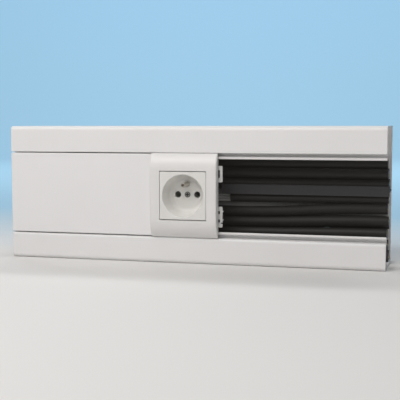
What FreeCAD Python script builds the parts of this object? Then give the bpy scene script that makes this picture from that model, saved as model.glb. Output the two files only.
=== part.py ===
"""Parapet cable trunking: base, clip-on cover, partition, outlet and the cables laid in it.

Millimetres. X runs along the trunking, the front faces -Y and Z is up. The origin lies under the
middle of the whole box. Every body is drawn about the trunking's front: its own y is the depth
behind the flange face, and its own z is the height from mid-height of the trunking.
"""
import FreeCAD
import Part
import Sketcher
import math
import os
import re

SIZES = {
    "trunking": {
        "trunking_length": 366,
        "trunking_height": 130,
        "trunking_depth": 68,
        "base_wall": 2.2,
        "flange_height": 25,
        "flange_edge_radius": 4,
        "web_wall": 1.8,
        "groove_width": 3.6,
        "groove_depth": 8,
        "lip_thickness": 2.05,
        "lip_wall": 1.1,
        "lip_setback": 3,
        "snap_bead": 0.5,
        "bead_length": 2.2,
        "fixing_pitch": 250,
        "fixing_rows": 70,
        "fixing_slot_width": 5.5,
        "fixing_slot_length": 11,
    },
    "cover": {
        "cover_thickness": 1.8,
        "cover_gap": 1,
        "cover_edge_radius": 0.6,
        "cover_tuck": 4,
        "leg_thickness": 1.3,
        "snap_clearance": 0.2,
    },
    "partition": {
        "partition_height": 66.9,
        "partition_depth": 27.8,
        "partition_web": 1.8,
        "partition_lip_height": 9.7,
        "partition_lip_wall": 2,
        "partition_clearance": 0.15,
        "notch_margin": 4.9,
        "notch_depth": 12,
        "rib_clearance": 0.4,
        "rib_wall": 1.6,
    },
    "outlet": {
        "outlet_offset": 4.2,
        "frame_width": 65,
        "frame_gap": 0.3,
        "frame_rise": 7,
        "frame_flat": 47.6,
        "frame_edge": 0.8,
        "frame_edge_radius": 1.2,
        "frame_wall": 1.8,
        "rim_wall": 1.5,
        "insert_size": 45,
        "insert_side_gap": 0.35,
        "insert_end_gap": 0.75,
        "insert_recess": 0.2,
        "insert_edge_radius": 0.5,
        "plate_wall": 1.5,
        "skirt_wall": 1.5,
        "skirt_depth": 5.5,
        "well_radius": 20,
        "well_taper": 2,
        "well_depth": 17,
        "well_fillet": 5,
        "well_floor": 3,
        "well_rim_radius": 0.6,
        "pin_spacing": 19,
        "pin_hole_radius": 3.1,
        "earth_rise": 10,
        "earth_pin_radius": 2.4,
        "earth_pin_length": 16.5,
        "earth_shank_radius": 1.9,
        "earth_shank_seat": 8,
        "pin_clearance": 0.1,
        "screw_radius": 1.5,
        "screw_length": 12,
        "screw_head_radius": 2.7,
        "screw_head_height": 1.4,
        "cross_length": 3.4,
        "cross_width": 1.2,
        "cross_depth": 0.8,
        "housing_size": 43,
        "housing_margin": 2,
        "housing_chamfer": 2.5,
        "housing_clearance": 0.3,
        "chamber_radius": 3.4,
        "chamber_wall": 1.4,
        "terminal_pitch": 9,
        "terminal_width": 6,
        "terminal_height": 12,
        "terminal_depth": 5,
    },
    "support": {
        "support_margin": 0.5,
        "support_setback": 2,
        "support_wall": 2,
        "support_clearance": 0.3,
        "tab_width": 48,
        "hook_width": 16,
        "hook_wall": 1.6,
        "hook_reach": 2,
        "lug_reach": 4.2,
        "lug_chamfer": 0.6,
        "lug_window": 1.8,
        "bracket_start": 12.7,
        "bracket_height": 15.3,
        "bracket_arm": 4,
        "comb_start": 10.2,
        "comb_arm": 4,
        "comb_window_height": 3,
        "comb_pitch": 8,
        "comb_foot": 4.5,
        "barb_reach": 1.3,
        "barb_height": 1.6,
        "slit_depth": 1.6,
        "slit_height": 1.2,
    },
    "cables": {
        "cable_diameter": 9.9,
        "cable_gap": 0.1,
        "cable_inset": 1.5,
        "cable_stagger": 0.8,
        "cable_rise_step": 1.6,
        "bend_start": 40,
        "bend_margin": 7.2,
        "grey_clearance": 1.7,
        "feed_diameter": 8.4,
        "feed_start": 34.5,
        "feed_lift": 4,
        "core_diameter": 2.6,
        "core_bend": 7,
    },
}

# Places worked out from the driving sizes, as expressions in the sheet's names.
FRONT_Y = "(frame_rise - trunking_depth) / 2"
MID_Z = "trunking_height / 2"
OUTLET_X = "-outlet_offset"
HALF_HEIGHT = "trunking_height / 2"
SLOT_EDGE = "(trunking_height / 2 - flange_height)"
LIP_TOP = f"({SLOT_EDGE} - groove_width)"
LIP_INSIDE = f"({LIP_TOP} - lip_wall)"
OPENING = f"({LIP_TOP} - lip_thickness)"
FLOOR = "(base_wall - trunking_height / 2)"
BACK = "(trunking_depth - base_wall)"
PARTITION_MID = f"({FLOOR} + partition_height)"
PARTITION_TOP = f"({PARTITION_MID} + partition_web / 2)"
PARTITION_FRONT = f"({BACK} - partition_depth)"
PARTITION_BACK = f"({PARTITION_FRONT} + partition_lip_wall)"
PARTITION_SLOT = "(partition_web / 2 + partition_clearance)"
FACE = "(insert_recess - frame_rise)"
WELL_FLOOR = f"({FACE} + well_depth)"
FLOOR_BACK = f"({WELL_FLOOR} + well_floor)"
SKIRT_BACK = f"({FACE} + skirt_depth)"
HOUSING_HOLE = "(housing_size + 2 * housing_clearance)"
HOUSING_BACK = f"({PARTITION_FRONT} - housing_margin)"
CHAMBER_END = f"({HOUSING_BACK} - terminal_depth - chamber_wall)"
SUPPORT_EDGE = "(frame_width / 2 - support_margin)"
SUPPORT_BACK = "(support_setback + support_wall)"
CABLE_PITCH = "(cable_diameter + cable_gap)"
FRONT_COLUMN = f"({PARTITION_BACK} + cable_gap + cable_diameter / 2)"
REAR_COLUMN = f"({FRONT_COLUMN} + {CABLE_PITCH})"
RIB_FRONT = f"({REAR_COLUMN} + cable_diameter / 2 + rib_clearance)"
LOWER_START = f"({FLOOR} + cable_gap + cable_diameter / 2)"
UPPER_START = f"({PARTITION_TOP} + cable_gap + cable_diameter / 2)"
BEND_START = f"(bend_start + {OUTLET_X})"
BEND_END = "(trunking_length / 2 - bend_margin)"
RISING_ROWS = 3
LAID_UPPER_ROWS = 3
FEED_RISE = f"({RISING_ROWS} * cable_rise_step - feed_lift + cable_gap)"
FEED_ROOM = f"(feed_lift + {FEED_RISE} + feed_diameter)"
LOWER_ROOM = f"(partition_height - partition_web / 2 - {FEED_ROOM})"
UPPER_ROOM = f"(-{FLOOR} - {PARTITION_TOP})"

doc = FreeCAD.newDocument("CableTrunking")


def make_sheet():
    """Writes every driving size into the sheet, one row each, with its name as the alias."""
    sheet = doc.addObject("Spreadsheet::Sheet", "Sizes")
    row = 0
    for group, sizes in SIZES.items():
        row += 1
        sheet.set(f"A{row}", group)
        for name, value in sizes.items():
            row += 1
            sheet.set(f"A{row}", name)
            sheet.set(f"B{row}", str(value))
            sheet.setAlias(f"B{row}", name)
    doc.recompute()
    return sheet


SHEET = make_sheet()


def bound(expression):
    """The expression with each size's name pointing into the sheet."""
    return re.sub(r"\b[a-z][a-z_]*\b(?!\()", lambda name: f"Sizes.{name.group()}", str(expression))


def value(expression):
    """The expression's present value."""
    return float(SHEET.evalExpression(bound(expression)))


def rows_in(room):
    """How many rows of cable fit in a height."""
    return math.floor(value(f"{room} / {CABLE_PITCH}"))


# The lower stack fills the room under the feed cable; the upper one has the rows that were laid.
FRONT_LOWER_ROWS = rows_in(LOWER_ROOM)
FRONT_UPPER_ROWS = min(LAID_UPPER_ROWS, rows_in(UPPER_ROOM))
LOWER_TOP = f"({LOWER_START} + {FRONT_LOWER_ROWS - 1} * {CABLE_PITCH} + cable_diameter / 2)"
FEED_Z = f"({LOWER_TOP} + feed_lift + feed_diameter / 2)"
GREY_DIAMETER = f"({BACK} - {REAR_COLUMN} + cable_diameter / 2 - grey_clearance)"
GREY_COLUMN = f"({REAR_COLUMN} - cable_diameter / 2 + {GREY_DIAMETER} / 2)"
GREY_Z = f"({LOWER_TOP} - cable_diameter + {GREY_DIAMETER} / 2)"


def bind(target, prop, expression):
    """Ties one property to an expression."""
    target.setExpression(prop, bound(expression))


def new_body(label, x="0"):
    """A body about the trunking's front at mid-height, moved along the trunking by x."""
    body = doc.addObject("PartDesign::Body", label)
    body.Label = label
    for axis, place in (("x", x), ("y", FRONT_Y), ("z", MID_Z)):
        bind(body, f"Placement.Base.{axis}", place)
    return body


def new_sketch(body, name, role, offset="0"):
    """A sketch on one of the body's own planes, moved along the plane's normal by offset."""
    sketch = body.newObject("Sketcher::SketchObject", name)
    plane = next(item for item in body.Origin.OriginFeatures if item.Role == role)
    sketch.AttachmentSupport = [(plane, "")]
    sketch.MapMode = "FlatFace"
    bind(sketch, "AttachmentOffset.Base.z", offset)
    return sketch


def fix_point(sketch, edge, end, x, y):
    """Holds one end of an edge at two expressions."""
    for kind, place in (("DistanceX", x), ("DistanceY", y)):
        index = sketch.addConstraint(Sketcher.Constraint(kind, -1, 1, edge, end, value(place)))
        bind(sketch, f"Constraints[{index}]", place)


def add_edge(sketch, start, end, arc):
    """Adds a line, or an arc about a centre, and returns its number and the ends it starts and ends at."""
    first = FreeCAD.Vector(value(start[0]), value(start[1]), 0)
    last = FreeCAD.Vector(value(end[0]), value(end[1]), 0)
    if arc is None:
        return sketch.addGeometry(Part.LineSegment(first, last), False), 1, 2
    centre_x, centre_y, held = arc
    centre = FreeCAD.Vector(value(centre_x), value(centre_y), 0)
    forward = (first - centre).cross(last - centre).z > 0
    ends = (first, last) if forward else (last, first)
    angles = [math.atan2(end.y - centre.y, end.x - centre.x) for end in ends]
    circle = Part.Circle(centre, FreeCAD.Vector(0, 0, 1), (first - centre).Length)
    edge = sketch.addGeometry(Part.ArcOfCircle(circle, *angles), False)
    kind, place = ("DistanceX", centre_x) if held == "x" else ("DistanceY", centre_y)
    index = sketch.addConstraint(Sketcher.Constraint(kind, -1, 1, edge, 3, value(place)))
    bind(sketch, f"Constraints[{index}]", place)
    return (edge, 1, 2) if forward else (edge, 2, 1)


def outline(sketch, corners, arcs=None, closed=True):
    """Joins corners, each two expressions, by lines, or by an arc where arcs gives that edge a centre."""
    arcs = arcs or {}
    count = len(corners) if closed else len(corners) - 1
    edges = []
    for index in range(count):
        following = corners[(index + 1) % len(corners)]
        edges.append(add_edge(sketch, corners[index], following, arcs.get(index)))
    for index in range(count if closed else count - 1):
        edge, _, end = edges[index]
        following, start, _ = edges[(index + 1) % count]
        sketch.addConstraint(Sketcher.Constraint("Coincident", edge, end, following, start))
    for (edge, start, _), corner in zip(edges, corners):
        fix_point(sketch, edge, start, *corner)
    if not closed:
        fix_point(sketch, edges[-1][0], edges[-1][2], *corners[-1])


def rectangle(sketch, x_low, x_high, y_low, y_high):
    """A rectangle between four expressions."""
    outline(sketch, [(x_low, y_low), (x_high, y_low), (x_high, y_high), (x_low, y_high)])


def centred(sketch, width, height):
    """A rectangle of the given width and height about the sketch's origin."""
    across = f"({width}) / 2"
    up = f"({height}) / 2"
    rectangle(sketch, f"-{across}", across, f"-{up}", up)


def square(sketch, side):
    """A square of the given side about the sketch's origin."""
    centred(sketch, side, side)


def circle(sketch, x, y, radius):
    """A circle held by its centre and radius."""
    centre = FreeCAD.Vector(value(x), value(y), 0)
    edge = sketch.addGeometry(Part.Circle(centre, FreeCAD.Vector(0, 0, 1), value(radius)), False)
    fix_point(sketch, edge, 3, x, y)
    index = sketch.addConstraint(Sketcher.Constraint("Radius", edge, value(radius)))
    bind(sketch, f"Constraints[{index}]", radius)


def oblong(sketch, x, y, length, width):
    """A round-ended slot along the sketch's x axis."""
    left = f"{x} - ({length} - {width}) / 2"
    right = f"{x} + ({length} - {width}) / 2"
    low = f"{y} - {width} / 2"
    high = f"{y} + {width} / 2"
    middle = f"{y}"
    tip_right = f"{right} + {width} / 2"
    tip_left = f"{left} - {width} / 2"
    corners = [
        (left, low),
        (right, low),
        (tip_right, middle),
        (right, high),
        (left, high),
        (tip_left, middle),
    ]
    round_right = (right, middle, "x")
    round_left = (left, middle, "x")
    outline(sketch, corners, {1: round_right, 2: round_right, 4: round_left, 5: round_left})


def add_feature(body, kind, name, sketch):
    """A sketch-based feature as the body's new tip."""
    feature = body.newObject(f"PartDesign::{kind}", name)
    feature.Profile = sketch
    sketch.Visibility = False
    return feature


def extrude(body, kind, name, sketch, length, symmetric=False, reverse=False):
    """Pads or pockets a sketch and checks that the volume changes the right way."""
    before = body.Shape.Volume if body.Tip else 0
    feature = add_feature(body, kind, name, sketch)
    bind(feature, "Length", length)
    feature.SideType = "Symmetric" if symmetric else "One side"
    feature.Reversed = reverse
    doc.recompute()
    change = body.Shape.Volume - before
    if (change <= 0) if kind == "Pad" else (change >= 0):
        raise RuntimeError(f"{name} changes the volume by {change}")
    return feature


def pad(body, name, sketch, length, **options):
    return extrude(body, "Pad", name, sketch, length, **options)


def pocket(body, name, sketch, length, **options):
    return extrude(body, "Pocket", name, sketch, length, **options)


def turn(body, kind, name, sketch):
    """Revolves or grooves a half section drawn in depth and radius about the depth axis."""
    before = body.Shape.Volume if body.Tip else 0
    feature = add_feature(body, kind, name, sketch)
    feature.ReferenceAxis = (sketch, ["H_Axis"])
    feature.Angle = 360
    doc.recompute()
    change = body.Shape.Volume - before
    if (change <= 0) if kind == "Revolution" else (change >= 0):
        raise RuntimeError(f"{name} changes the volume by {change}")
    return feature


def round_edges(body, name, radius, chosen):
    """Fillets those edges of the tip that the test chooses."""
    tip = body.Tip
    names = [f"Edge{number}" for number, edge in enumerate(tip.Shape.Edges, 1) if chosen(edge)]
    feature = body.newObject("PartDesign::Fillet", name)
    feature.Base = (tip, names)
    bind(feature, "Radius", radius)
    doc.recompute()
    return feature


def bevel_edges(body, name, size, chosen):
    """Chamfers those edges of the tip that the test chooses."""
    tip = body.Tip
    names = [f"Edge{number}" for number, edge in enumerate(tip.Shape.Edges, 1) if chosen(edge)]
    feature = body.newObject("PartDesign::Chamfer", name)
    feature.Base = (tip, names)
    bind(feature, "Size", size)
    doc.recompute()
    return feature


def near(a, b):
    return abs(a - b) < 1e-4


def at_depth(edge, depth):
    """Whether the whole edge lies at one depth behind the flange face."""
    box = edge.BoundBox
    return near(box.YMin, depth) and near(box.YMax, depth)


def at_height(edge, height):
    """Whether the whole edge lies at one height above or below the middle."""
    box = edge.BoundBox
    return near(box.ZMin, box.ZMax) and near(abs(box.ZMin), height)


def mirrored(corners):
    """The corners below mid-height that answer the given ones above it, in the reverse order."""
    return [(depth, f"-({height})") for depth, height in reversed(corners)]


def build_base():
    """The extruded base: back and side walls, flanges, cover grooves, lips and the partition's socket."""
    body = new_body("trunking_base")
    upper = [
        (BACK, f"{HALF_HEIGHT} - base_wall"),
        ("base_wall", f"{HALF_HEIGHT} - base_wall"),
        ("base_wall", f"{SLOT_EDGE} + web_wall"),
        ("groove_depth + web_wall", f"{SLOT_EDGE} + web_wall"),
        ("groove_depth + web_wall", LIP_INSIDE),
        ("lip_setback + bead_length", LIP_INSIDE),
        ("lip_setback + bead_length / 2", OPENING),
        ("lip_setback", OPENING),
        ("lip_setback", LIP_TOP),
        ("lip_setback + bead_length / 2", f"{LIP_TOP} + snap_bead"),
        ("lip_setback + bead_length", LIP_TOP),
        ("groove_depth", LIP_TOP),
        ("groove_depth", SLOT_EDGE),
        ("0", SLOT_EDGE),
        ("0", HALF_HEIGHT),
        ("trunking_depth", HALF_HEIGHT),
    ]
    socket = []
    for side in ("-", "+"):
        inner = f"{PARTITION_MID} {side} {PARTITION_SLOT}"
        outer = f"{inner} {side} rib_wall"
        rib = [(BACK, outer), (RIB_FRONT, outer), (RIB_FRONT, inner), (BACK, inner)]
        socket += rib if side == "-" else rib[::-1]
    section = new_sketch(body, "BaseSection", "YZ_Plane")
    outline(section, upper + mirrored(upper) + socket)
    pad(body, "BaseExtrusion", section, "trunking_length", symmetric=True)
    half = value(HALF_HEIGHT)
    chosen = lambda edge: at_depth(edge, 0) and at_height(edge, half)
    round_edges(body, "FlangeEdges", "flange_edge_radius", chosen)
    fixings = new_sketch(body, "FixingSlots", "XZ_Plane", "-trunking_depth")
    for x in ("-fixing_pitch / 2", "fixing_pitch / 2"):
        for z in ("-fixing_rows / 2", "fixing_rows / 2"):
            oblong(fixings, x, z, "fixing_slot_length", "fixing_slot_width")
    pocket(body, "WallFixings", fixings, "base_wall", reverse=True)
    return body


def build_cover():
    """The cover: a flat face with a snap leg along each edge, from the left end to under the frame."""
    body = new_body("front_cover")
    edge = f"{SLOT_EDGE} - cover_gap"
    leg_inside = f"{LIP_TOP} + snap_bead + snap_clearance"
    leg_outside = f"{leg_inside} + leg_thickness"
    leg_end = "groove_depth - 2 * snap_clearance"
    barb = "lip_setback + bead_length + snap_clearance"
    upper = [
        ("cover_thickness", leg_inside),
        (barb, leg_inside),
        (barb, f"{leg_inside} - snap_bead"),
        (f"{leg_end} - snap_bead", f"{leg_inside} - snap_bead"),
        (leg_end, leg_inside),
        (leg_end, leg_outside),
        ("cover_thickness", leg_outside),
        ("cover_thickness", edge),
        ("0", edge),
    ]
    section = new_sketch(body, "CoverSection", "YZ_Plane", "-trunking_length / 2")
    outline(section, upper + mirrored(upper))
    length = f"trunking_length / 2 + {OUTLET_X} - frame_width / 2 + cover_tuck"
    pad(body, "CoverExtrusion", section, length)
    height = value(edge)
    chosen = lambda item: at_depth(item, 0) and at_height(item, height)
    round_edges(body, "CoverEdges", "cover_edge_radius", chosen)
    return body


def build_partition():
    """The T-shaped partition: its web sits in the base's socket, and a notch clears the outlet."""
    body = new_body("partition")
    lip_low = f"{PARTITION_MID} - partition_lip_height / 2"
    lip_high = f"{PARTITION_MID} + partition_lip_height / 2"
    web_low = f"{PARTITION_MID} - partition_web / 2"
    corners = [
        (PARTITION_FRONT, lip_low),
        (PARTITION_BACK, lip_low),
        (PARTITION_BACK, web_low),
        (BACK, web_low),
        (BACK, PARTITION_TOP),
        (PARTITION_BACK, PARTITION_TOP),
        (PARTITION_BACK, lip_high),
        (PARTITION_FRONT, lip_high),
    ]
    section = new_sketch(body, "PartitionSection", "YZ_Plane")
    outline(section, corners)
    pad(body, "PartitionExtrusion", section, "trunking_length", symmetric=True)
    notch = new_sketch(body, "OutletNotch", "XZ_Plane", f"-{PARTITION_FRONT}")
    half = "(housing_size / 2 + notch_margin)"
    low = f"{lip_low} - partition_lip_wall"
    high = f"{lip_high} + partition_lip_wall"
    rectangle(notch, f"{OUTLET_X} - {half}", f"{OUTLET_X} + {half}", low, high)
    pocket(body, "OutletNotchCut", notch, "notch_depth")
    return body


def build_support():
    """The mounting frame: a plate between the lips, tabs before them, hooks behind and lugs at the sides."""
    body = new_body("device_support", OUTLET_X)
    plate = new_sketch(body, "SupportPlate", "XZ_Plane", "-support_setback")
    plate_edge = f"({OPENING} - support_clearance)"
    rectangle(plate, f"-{SUPPORT_EDGE}", SUPPORT_EDGE, f"-{plate_edge}", plate_edge)
    square(plate, HOUSING_HOLE)
    pad(body, "SupportPad", plate, "support_wall", reverse=True)

    tabs = new_sketch(body, "LipTabs", "XZ_Plane", "-lip_setback")
    tab_root = f"{plate_edge} - support_wall"
    tab_tip = f"{LIP_TOP} - support_clearance"
    rectangle(tabs, "-tab_width / 2", "tab_width / 2", tab_root, tab_tip)
    rectangle(tabs, "-tab_width / 2", "tab_width / 2", f"-({tab_tip})", f"-({tab_root})")
    pad(body, "LipTabPads", tabs, "support_wall")

    hook_start = "groove_depth + web_wall + support_clearance"
    hook_end = f"{hook_start} + hook_wall"
    hook = [
        (SUPPORT_BACK, f"{plate_edge} - hook_wall"),
        (hook_end, f"{plate_edge} - hook_wall"),
        (hook_end, f"{plate_edge} + hook_reach / 2"),
        (hook_start, f"{plate_edge} + hook_reach"),
        (hook_start, plate_edge),
        (SUPPORT_BACK, plate_edge),
    ]
    for name, corners in (("Upper", hook), ("Lower", mirrored(hook))):
        sketch = new_sketch(body, f"{name}Hook", "YZ_Plane")
        outline(sketch, corners)
        pad(body, f"{name}HookPad", sketch, "hook_width", symmetric=True)

    for side, name in (("1", "Right"), ("-1", "Left")):
        sketch = new_sketch(body, f"{name}Lugs", "XZ_Plane", "-support_setback")
        for corners in (bracket_corners(), comb_corners()):
            outline(sketch, [(f"{side} * ({reach})", height) for reach, height in corners])
        pad(body, f"{name}LugPads", sketch, "support_wall", reverse=True)
    return body


def bracket_corners():
    """The upper lug, which couples to a neighbouring support: two arms and a bar round a window."""
    tip = f"{SUPPORT_EDGE} + lug_reach"
    inside = f"{SUPPORT_EDGE} + lug_window"
    top = "(bracket_start + bracket_height)"
    return [
        (SUPPORT_EDGE, "bracket_start"),
        (f"{tip} - lug_chamfer", "bracket_start"),
        (tip, "bracket_start + lug_chamfer"),
        (tip, f"{top} - lug_chamfer"),
        (f"{tip} - lug_chamfer", top),
        (SUPPORT_EDGE, top),
        (SUPPORT_EDGE, f"{top} - bracket_arm"),
        (inside, f"{top} - bracket_arm"),
        (inside, "bracket_start + bracket_arm"),
        (SUPPORT_EDGE, "bracket_start + bracket_arm"),
    ]


def comb_corners():
    """The lower lug: a bar with two barbs and a slit outside, and two windows behind it."""
    tip = f"{SUPPORT_EDGE} + lug_reach"
    inside = f"{SUPPORT_EDGE} + lug_window"
    first = "(-comb_start - comb_arm)"
    second = f"({first} - comb_pitch)"
    slit = f"({second} - comb_window_height)"
    foot = f"({slit} - comb_foot)"
    corners = [
        (SUPPORT_EDGE, "-comb_start"),
        (f"{tip} - lug_chamfer", "-comb_start"),
        (tip, "-comb_start - lug_chamfer"),
    ]
    for barb in (first, second):
        corners += [(tip, barb), (f"{tip} + barb_reach", barb), (tip, f"{barb} - barb_height")]
    corners += [
        (tip, slit),
        (f"{tip} - slit_depth", slit),
        (f"{tip} - slit_depth", f"{slit} - slit_height"),
        (tip, f"{slit} - slit_height"),
        (tip, f"{foot} + lug_chamfer"),
        (f"{tip} - lug_chamfer", foot),
        (SUPPORT_EDGE, foot),
    ]
    for window in (second, first):
        low = f"{window} - comb_window_height"
        corners += [(SUPPORT_EDGE, low), (inside, low), (inside, window), (SUPPORT_EDGE, window)]
    return corners


def arch_corners(wall):
    """The frame's arched section, or the one a wall's thickness inside it, with its two arcs."""
    half = f"({SLOT_EDGE} - frame_gap - {wall})"
    flat = "frame_flat / 2"
    front = f"({wall} - frame_rise)"
    drop = "(frame_rise - frame_edge)"
    reach = f"({half} - {flat})"
    fall = f"({drop} - {wall})"
    radius = f"(({reach}) * ({reach}) + {fall} * {fall}) / (2 * {fall})"
    corners = [
        ("0", f"-{half}"),
        ("0", half),
        ("-frame_edge", half),
        (front, flat),
        (front, f"-{flat}"),
        ("-frame_edge", f"-{half}"),
    ]
    centre = f"{front} + {radius}"
    return corners, {2: (centre, flat, "y"), 4: (centre, f"-{flat}", "y")}


def build_frame():
    """The outlet's cover frame: an arched shell with a square opening and a rim that seats on the support."""
    body = new_body("outlet_frame", OUTLET_X)
    shell = new_sketch(body, "FrameSection", "YZ_Plane")
    outline(shell, *arch_corners("0"))
    pad(body, "FrameArch", shell, "frame_width", symmetric=True)
    half_width = value("frame_width / 2")

    def on_front_end(edge):
        box = edge.BoundBox
        at_end = near(box.XMin, box.XMax) and near(abs(box.XMin), half_width)
        return at_end and box.YMax < -value("frame_edge") + 1e-4

    round_edges(body, "FrameEdges", "frame_edge_radius", on_front_end)
    hollow = new_sketch(body, "FrameHollow", "YZ_Plane")
    outline(hollow, *arch_corners("frame_wall"))
    pocket(body, "FrameInside", hollow, "frame_width - 2 * frame_wall", symmetric=True)
    wide = "(insert_size + 2 * insert_side_gap)"
    high = "(insert_size + 2 * insert_end_gap)"
    rim = new_sketch(body, "FrameRim", "XZ_Plane", "-support_setback")
    centred(rim, f"{wide} + 2 * rim_wall", f"{high} + 2 * rim_wall")
    pad(body, "RimPad", rim, "support_setback + frame_rise - frame_wall / 2")
    opening = new_sketch(body, "FrameOpening", "XZ_Plane", "-support_setback")
    centred(opening, wide, high)
    pocket(body, "OpeningCut", opening, "support_setback + frame_rise", reverse=True)
    return body


def well_corners(wall):
    """The well's half section as depth and radius, or the one a wall's thickness outside it."""
    side = f"(well_radius - well_taper + {wall})"
    floor = WELL_FLOOR if wall == "0" else FLOOR_BACK
    start = FACE if wall == "0" else f"{FACE} + plate_wall / 2"
    bend = f"({floor} - well_fillet)"
    inner = f"({side} - well_fillet)"
    corners = [
        (start, "0"),
        (start, f"well_radius + {wall}"),
        (bend, side),
        (floor, inner),
        (floor, "0"),
    ]
    return corners, {2: (bend, inner, "x")}


def build_plate():
    """The outlet's square front: face and skirt, the round well, and its holes."""
    body = new_body("socket_plate", OUTLET_X)
    face = new_sketch(body, "PlateFace", "XZ_Plane", f"-{SKIRT_BACK}")
    square(face, "insert_size")
    pad(body, "PlateBlock", face, "skirt_depth")
    face_depth = value(FACE)
    round_edges(body, "PlateEdges", "insert_edge_radius", lambda edge: at_depth(edge, face_depth))
    inside = new_sketch(body, "PlateInside", "XZ_Plane", f"-{SKIRT_BACK}")
    square(inside, "insert_size - 2 * skirt_wall")
    pocket(body, "SkirtInside", inside, "skirt_depth - plate_wall", reverse=True)
    bowl = new_sketch(body, "BowlSection", "YZ_Plane")
    outline(bowl, *well_corners("plate_wall"))
    turn(body, "Revolution", "Bowl", bowl)
    well = new_sketch(body, "WellSection", "YZ_Plane")
    outline(well, *well_corners("0"))
    turn(body, "Groove", "Well", well)
    on_rim = lambda edge: at_depth(edge, face_depth) and near(edge.BoundBox.XLength, value("2 * well_radius"))
    round_edges(body, "WellRim", "well_rim_radius", on_rim)
    holes = new_sketch(body, "FloorHoles", "XZ_Plane", f"-{WELL_FLOOR}")
    for x in ("-pin_spacing / 2", "pin_spacing / 2"):
        circle(holes, x, "0", "pin_hole_radius")
    circle(holes, "0", "earth_rise", "earth_shank_radius + pin_clearance")
    circle(holes, "0", "0", "screw_radius + pin_clearance")
    pocket(body, "FloorHolesCut", holes, "well_floor")
    sink = new_sketch(body, "ScrewSink", "XZ_Plane", f"-{WELL_FLOOR}")
    circle(sink, "0", "0", "screw_head_radius + pin_clearance")
    pocket(body, "ScrewSinkCut", sink, "screw_head_height / 2")
    return body


def build_housing():
    """The outlet's rear housing: a flange on the support, a body through it, and its recesses."""
    body = new_body("socket_housing", OUTLET_X)
    flange = new_sketch(body, "HousingFlange", "XZ_Plane", "-support_setback")
    square(flange, "insert_size")
    pad(body, "FlangePad", flange, f"support_setback - {SKIRT_BACK}")
    block = new_sketch(body, "HousingBlock", "XZ_Plane", "-support_setback")
    square(block, "housing_size")
    pad(body, "BlockPad", block, f"{HOUSING_BACK} - support_setback", reverse=True)
    rear = value(HOUSING_BACK)
    bevel_edges(body, "HousingEdges", "housing_chamfer", lambda edge: at_depth(edge, rear))
    nest = new_sketch(body, "BowlNest", "YZ_Plane")
    corners, _ = well_corners("(plate_wall + housing_clearance)")
    mouth, straight = corners[1:3]
    outline(nest, [(mouth[0], "0"), mouth, straight, (FLOOR_BACK, straight[1]), (FLOOR_BACK, "0")])
    turn(body, "Groove", "BowlNestCut", nest)
    chambers = new_sketch(body, "PinChambers", "XZ_Plane", f"-{FLOOR_BACK}")
    for x in ("-pin_spacing / 2", "pin_spacing / 2"):
        circle(chambers, x, "0", "chamber_radius")
    pocket(body, "PinChambersCut", chambers, f"{CHAMBER_END} - {FLOOR_BACK}")
    seats = new_sketch(body, "PinSeat", "XZ_Plane", f"-{FLOOR_BACK}")
    circle(seats, "0", "earth_rise", "earth_shank_radius + pin_clearance")
    pocket(body, "PinSeatCut", seats, "earth_shank_seat")
    thread = new_sketch(body, "ScrewHole", "XZ_Plane", f"-{FLOOR_BACK}")
    circle(thread, "0", "0", "screw_radius + pin_clearance")
    pocket(body, "ScrewHoleCut", thread, "screw_length - well_floor")
    terminals = new_sketch(body, "Terminals", "XZ_Plane", f"-{HOUSING_BACK}")
    feed = FEED_Z
    for step in (-1, 0, 1):
        middle = f"({step} * terminal_pitch)"
        rectangle(
            terminals,
            f"{middle} - terminal_width / 2",
            f"{middle} + terminal_width / 2",
            f"{feed} - terminal_height / 2",
            f"{feed} + terminal_height / 2",
        )
    pocket(body, "TerminalRecesses", terminals, "terminal_depth", reverse=True)
    return body


def build_earth_pin():
    """The earth pin: a domed bar on the well's floor, with a thinner shank seated in the housing."""
    body = new_body("earth_pin", OUTLET_X)
    bind(body, "Placement.Base.z", f"{MID_Z} + earth_rise")
    tip = f"({WELL_FLOOR} - earth_pin_length)"
    section = new_sketch(body, "PinSection", "YZ_Plane")
    corners = [
        (tip, "0"),
        (f"{tip} + earth_pin_radius", "earth_pin_radius"),
        (WELL_FLOOR, "earth_pin_radius"),
        (WELL_FLOOR, "earth_shank_radius"),
        (f"{FLOOR_BACK} + earth_shank_seat", "earth_shank_radius"),
        (f"{FLOOR_BACK} + earth_shank_seat", "0"),
    ]
    outline(section, corners, {0: (f"{tip} + earth_pin_radius", "0", "x")})
    turn(body, "Revolution", "PinBar", section)
    return body


def build_screw():
    """The plate's screw: a low head with a cross recess, sunk half into the well's floor."""
    body = new_body("plate_screw", OUTLET_X)
    seat = f"({WELL_FLOOR} + screw_head_height / 2)"
    crown = f"({seat} - screw_head_height)"
    section = new_sketch(body, "ScrewSection", "YZ_Plane")
    outline(section, [
        (crown, "0"),
        (crown, "screw_head_radius * 2 / 3"),
        (f"{crown} + screw_head_height / 3", "screw_head_radius"),
        (seat, "screw_head_radius"),
        (seat, "screw_radius"),
        (f"{WELL_FLOOR} + screw_length", "screw_radius"),
        (f"{WELL_FLOOR} + screw_length", "0"),
    ])
    turn(body, "Revolution", "ScrewTurned", section)
    half_length = "cross_length / 2"
    half_width = "cross_width / 2"
    recess = new_sketch(body, "CrossRecess", "XZ_Plane", f"-{crown}")
    outline(recess, [
        (half_width, half_width),
        (half_width, half_length),
        (f"-{half_width}", half_length),
        (f"-{half_width}", half_width),
        (f"-{half_length}", half_width),
        (f"-{half_length}", f"-{half_width}"),
        (f"-{half_width}", f"-{half_width}"),
        (f"-{half_width}", f"-{half_length}"),
        (half_width, f"-{half_length}"),
        (half_width, f"-{half_width}"),
        (half_length, f"-{half_width}"),
        (half_length, half_width),
    ])
    pocket(body, "CrossRecessCut", recess, "cross_depth")
    return body


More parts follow.
